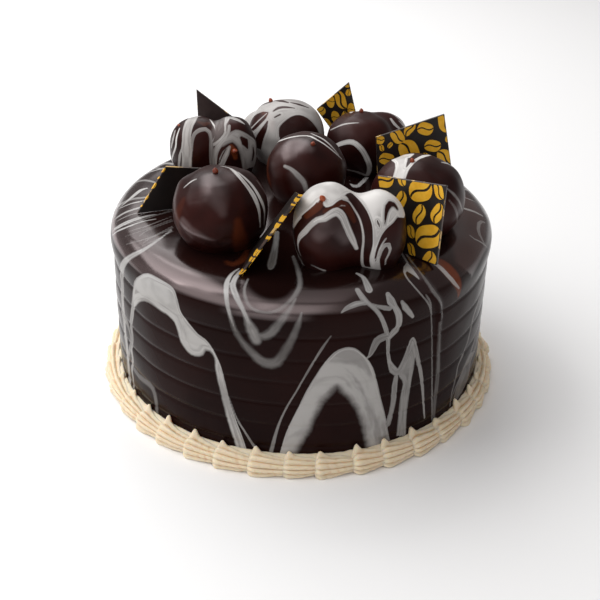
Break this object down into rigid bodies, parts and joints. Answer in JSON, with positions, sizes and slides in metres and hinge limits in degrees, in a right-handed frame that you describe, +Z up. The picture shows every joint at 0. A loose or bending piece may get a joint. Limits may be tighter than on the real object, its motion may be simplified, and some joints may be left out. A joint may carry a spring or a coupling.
{
  "type": "profiterole cake",
  "caption": "Round cake under marbled chocolate glaze, topped with glazed profiteroles and thin chocolate plates, with a piped cream shell border round its foot.",
  "frame": {"origin": "centre of the cake's round underside, on the surface it stands on", "axes": "+Z up along the cake's axis, -Y to the front of the cake, +X to its right"},
  "size_m": [0.2336, 0.2334, 0.1523],
  "materials": {
    "glaze": "mirror-gloss dark chocolate glaze with white marbling",
    "bun_glaze": "gloss dark chocolate glaze",
    "chocolate_plate": "satin dark chocolate with gold bean print",
    "cream": "soft matt ivory cream"
  },
  "bodies": {
    "root": {"cake": "glaze", "bun_front_left": "bun_glaze", "bun_centre": "bun_glaze", "bun_front_double": "bun_glaze", "bun_right": "bun_glaze", "bun_back_right": "bun_glaze", "bun_back": "bun_glaze", "bun_back_left_double": "bun_glaze", "plate_back_left": "chocolate_plate", "plate_left": "chocolate_plate", "plate_front": "chocolate_plate", "plate_back": "chocolate_plate", "plate_right_back": "chocolate_plate", "plate_right_front": "chocolate_plate", "cream_border": "cream"}
  },
  "joints": []
}
